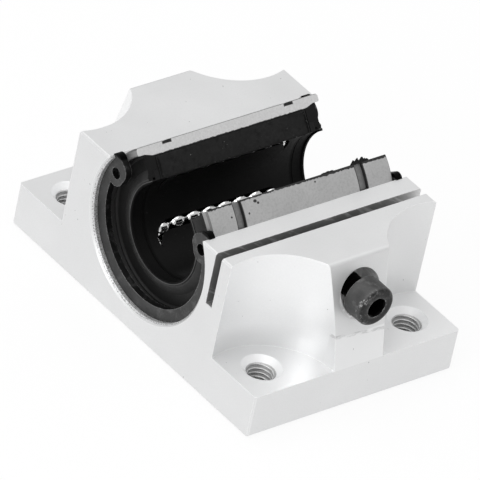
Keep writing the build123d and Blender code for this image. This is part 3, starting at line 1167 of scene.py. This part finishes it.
def ring_floor(radius):
    """How far out the face of an end ring lies at a radius."""
    if radius > band_outer_radius:
        return straight(radius, ring_shoulder_radius, band_outer_radius, ring_rim_x, ring_band_x)
    if radius > band_inner_radius:
        return ring_band_x
    return straight(radius, band_inner_radius, slot_outer_radius, ring_band_x, ring_face_x)


def ring_end_wall(end, side):
    """A wall that closes an end ring's band at one side of the gap, and rises to its rim's height."""
    first = cut_angle - 13.0
    last = cut_angle - 0.15
    sunk = 0.03
    over_rim = 0.06
    root_x = ring_band_x - 0.3
    radii = (12.24, band_outer_radius, 11.6, 11.0, 10.4, band_inner_radius, 9.8, 9.45)

    def section_at(share):
        angle = side * (first + (last - first) * share)
        ring = []
        for radius in radii:
            floor_x = ring_floor(radius)
            top = floor_x - sunk + max(0.0, ring_rim_x + over_rim - floor_x) * share**2
            ring.append(along_shaft(end * top) + from_bottom(radius, angle))
        for radius in (radii[-1], radii[0]):
            ring.append(along_shaft(end * root_x) + from_bottom(radius, angle))
        return ring

    return swept(14, section_at)


def ring_ends():
    """The walls that close each end ring's band at the gap."""
    whole = bmesh.new()
    for end in (-1, 1):
        for side in (-1, 1):
            add_to(whole, ring_end_wall(end, side))
    mesh_piece("ring_end_walls", whole, "block", ring_look, 30)


def seal_filler(end):
    """The grease in the groove between a seal's lip and its end ring."""
    section = (
        (ring_face_x - 0.9, slot_inner_radius - 0.03),
        (ring_face_x - 0.9, slot_outer_radius + 0.03),
        (ring_face_x - 0.07, slot_outer_radius + 0.03),
        (ring_face_x - 0.12, slot_inner_radius + 0.1),
        (ring_face_x - 0.25, slot_inner_radius - 0.03),
    )

    def section_at(share):
        angle = (cut_angle - 0.1) * (2 * share - 1)
        return [along_shaft(end * x) + from_bottom(radius, angle) for x, radius in section]

    return swept(72, section_at)


def seal_fillers():
    """The filled grooves beside both seals' lips."""
    whole = bmesh.new()
    for end in (-1, 1):
        add_to(whole, seal_filler(end))
    mesh_piece("seal_fillers", whole, "block", ring_look, 40)


ring_ends()
seal_fillers()


def counterbore_burr():
    """Torn, bright metal at the mouth of the screw's counterbore, on its lower front side."""
    steps = 40
    first = 166.0
    last = 256.0
    flank_rise = (flank_top_y - flank_foot_y) / (flank_top_z - waist_z)
    wall_radius = counterbore_radius + 0.05
    coarse_waves = 0.33
    fine_waves = 0.9
    edge_height = 0.30
    foot_depth = 0.9

    def section_at(share):
        angle = radians(first + (last - first) * share)
        coarse = abs(noise.noise(Vector((share * steps * coarse_waves, 0.5, 0.0))))
        fine = abs(noise.noise(Vector((share * steps * fine_waves, 4.5, 0.0))))
        rag = coarse + 0.5 * fine
        width = 0.02 + (0.34 + 0.45 * rag) * sin(pi * share) ** 0.5
        inner = max(counterbore_radius - width, screw_head_radius + 0.06)
        section = (
            (wall_radius, 0.04),
            (inner, 0.02 + 0.15 * rag),
            (inner, edge_height),
            (wall_radius, foot_depth),
        )
        ring = []
        for radius, depth in section:
            z = screw_rise + radius * sin(angle)
            mouth = -(flank_foot_y + flank_rise * (z - waist_z))
            ring.append((radius * cos(angle), mouth + depth, z))
        return ring

    shape = swept(steps, section_at)
    mesh_piece("counterbore_burr", shape, "block", aluminium_look, 30)


counterbore_burr()


def detailed_screw():
    """The adjusting screw with its rounded head, chamfered socket and cut thread."""
    segments = 72
    rim_steps = 6
    steps_per_pitch = 9
    face_y = screw_low.y
    tip_y = screw_high.y
    start_y = screw_under_y + 0.5
    run_in = 0.5
    tip_cut = 0.5
    drill_point = 0.45
    socket_chamfer = 0.12
    chamfer_depth = 0.28
    under_edge = 0.12
    neck_fillet = 0.15
    rings = []

    def add_ring(y, radius_at):
        rings.append(
            ring_of_points(segments, radius_at, lambda across, up: (across, y, screw_rise + up))
        )

    def add_circle(y, radius):
        add_ring(y, lambda angle: radius)

    def hexagon(angle):
        across = (angle + pi / 6) % (pi / 3) - pi / 6
        return hex_across_flats / 2 / cos(across)

    add_circle(face_y + hex_depth + drill_point, 0.02)
    for depth in (hex_depth, hex_depth - 0.05, chamfer_depth):
        add_ring(face_y + depth, hexagon)
    add_circle(face_y + 0.02, hex_corner_radius + socket_chamfer / 2)
    add_circle(face_y, hex_corner_radius + socket_chamfer)
    for step in range(rim_steps + 1):
        turn = radians(90 * step / rim_steps)
        y = face_y + screw_head_edge - screw_head_edge * cos(turn)
        add_circle(y, screw_head_radius - screw_head_edge + screw_head_edge * sin(turn))
    add_circle(screw_under_y - under_edge, screw_head_radius)
    add_circle(screw_under_y, screw_head_radius - under_edge)
    add_circle(screw_under_y, screw_thread_radius + neck_fillet)
    add_circle(screw_under_y + neck_fillet, screw_thread_radius)
    steps = round((tip_y - start_y) / screw_thread_pitch * steps_per_pitch)
    for step in range(steps + 1):
        y = start_y + (tip_y - start_y) * step / steps
        depth = screw_thread_depth * min(1.0, (y - start_y) / run_in)
        cone = screw_thread_radius - tip_cut + (tip_y - y)

        def threaded(angle, y=y, depth=depth, cone=cone):
            ridge = thread_wave((y - start_y) / screw_thread_pitch - angle / (2 * pi))
            return min(screw_thread_radius - depth + depth * ridge, cone)

        add_ring(y, threaded)
    shape = lofted(rings, closed=True)
    piece = mesh_piece("adjusting_screw_detailed", shape, "adjusting_screw", screw_look, 32)
    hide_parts("adjusting_screw")


detailed_screw()


def floor_look():
    """White paper that looks nearly white to the camera and in reflections, and keeps the shadow."""
    look = bpy.data.materials.new("floor_white")
    tree = Tree(look)
    matt = tree.new("BsdfDiffuse", Color=grey(floor_grey)).outputs[0]
    glow = tree.new("Emission", Color=grey(1.0), Strength=1.0).outputs[0]
    path = tree.new("LightPath").outputs
    seen = tree.math("MAXIMUM", path["Is Camera Ray"], path["Is Glossy Ray"])
    tree.new("OutputMaterial", Surface=tree.blend(tree.times(seen, floor_glow), matt, glow))
    return look


def pale_floor():
    shape = bmesh.new()
    bmesh.ops.create_grid(shape, x_segments=8, y_segments=8, size=floor_half_size)
    bmesh.ops.translate(shape, verts=shape.verts, vec=Vector((0, 0, foot_z - floor_gap)))
    mesh = to_mesh("floor", shape)
    mesh.materials.append(floor_look())
    floor_sheet = link(bpy.data.objects.new("floor", mesh))


def pale_room():
    """A world that lights the object softly, and looks pale to the camera."""
    world = bpy.data.worlds.new("white_room")
    bpy.context.scene.world = world
    tree = Tree(world)
    light = tree.new("Background", Strength=room_light).outputs[0]
    seen_by_camera = tree.new("Background", Strength=1.0).outputs[0]
    path = tree.new("LightPath").outputs
    tree.new("OutputWorld", Surface=tree.blend(path["Is Camera Ray"], light, seen_by_camera))


def softbox(name, place, size, power):
    """A round soft lamp that points at the object."""
    data = bpy.data.lights.new(name, "AREA")
    data.shape = "DISK"
    data.size = size
    data.energy = power
    lamp = link(bpy.data.objects.new(name, data))
    lamp.location = place
    lamp.rotation_mode = "QUATERNION"
    lamp.rotation_quaternion = (Vector((0, 0, 0)) - Vector(place)).to_track_quat("-Z", "Y")


pale_floor()
pale_room()
for lamp_name, lamp_place, lamp_size, lamp_power in lamps:
    softbox(lamp_name, lamp_place, lamp_size, lamp_power)


def photo_camera():
    """The camera, which looks from the photograph's angle with its roll."""
    azimuth, elevation, roll = (radians(a) for a in (view_azimuth, view_elevation, view_roll))
    back = Vector(
        (sin(azimuth) * cos(elevation), -cos(azimuth) * cos(elevation), sin(elevation))
    )
    level_right = Vector((0, 0, 1)).cross(back).normalized()
    level_up = back.cross(level_right)
    right = level_right * cos(roll) + level_up * sin(roll)
    up = level_up * cos(roll) - level_right * sin(roll)
    place = right * view_right + up * view_up + back * view_distance + view_centre
    data = bpy.data.cameras.new("photo_view")
    data.sensor_width = sensor_width
    data.lens = view_lens
    data.clip_start = 0.01
    data.clip_end = 10.0
    camera = link(bpy.data.objects.new("photo_view", data))
    turn = Matrix((right, up, back)).transposed().to_4x4()
    camera.matrix_world = Matrix.Translation(place * MM) @ turn
    bpy.context.scene.camera = camera


photo_camera()
bpy.context.scene.view_settings.view_transform = "Standard"
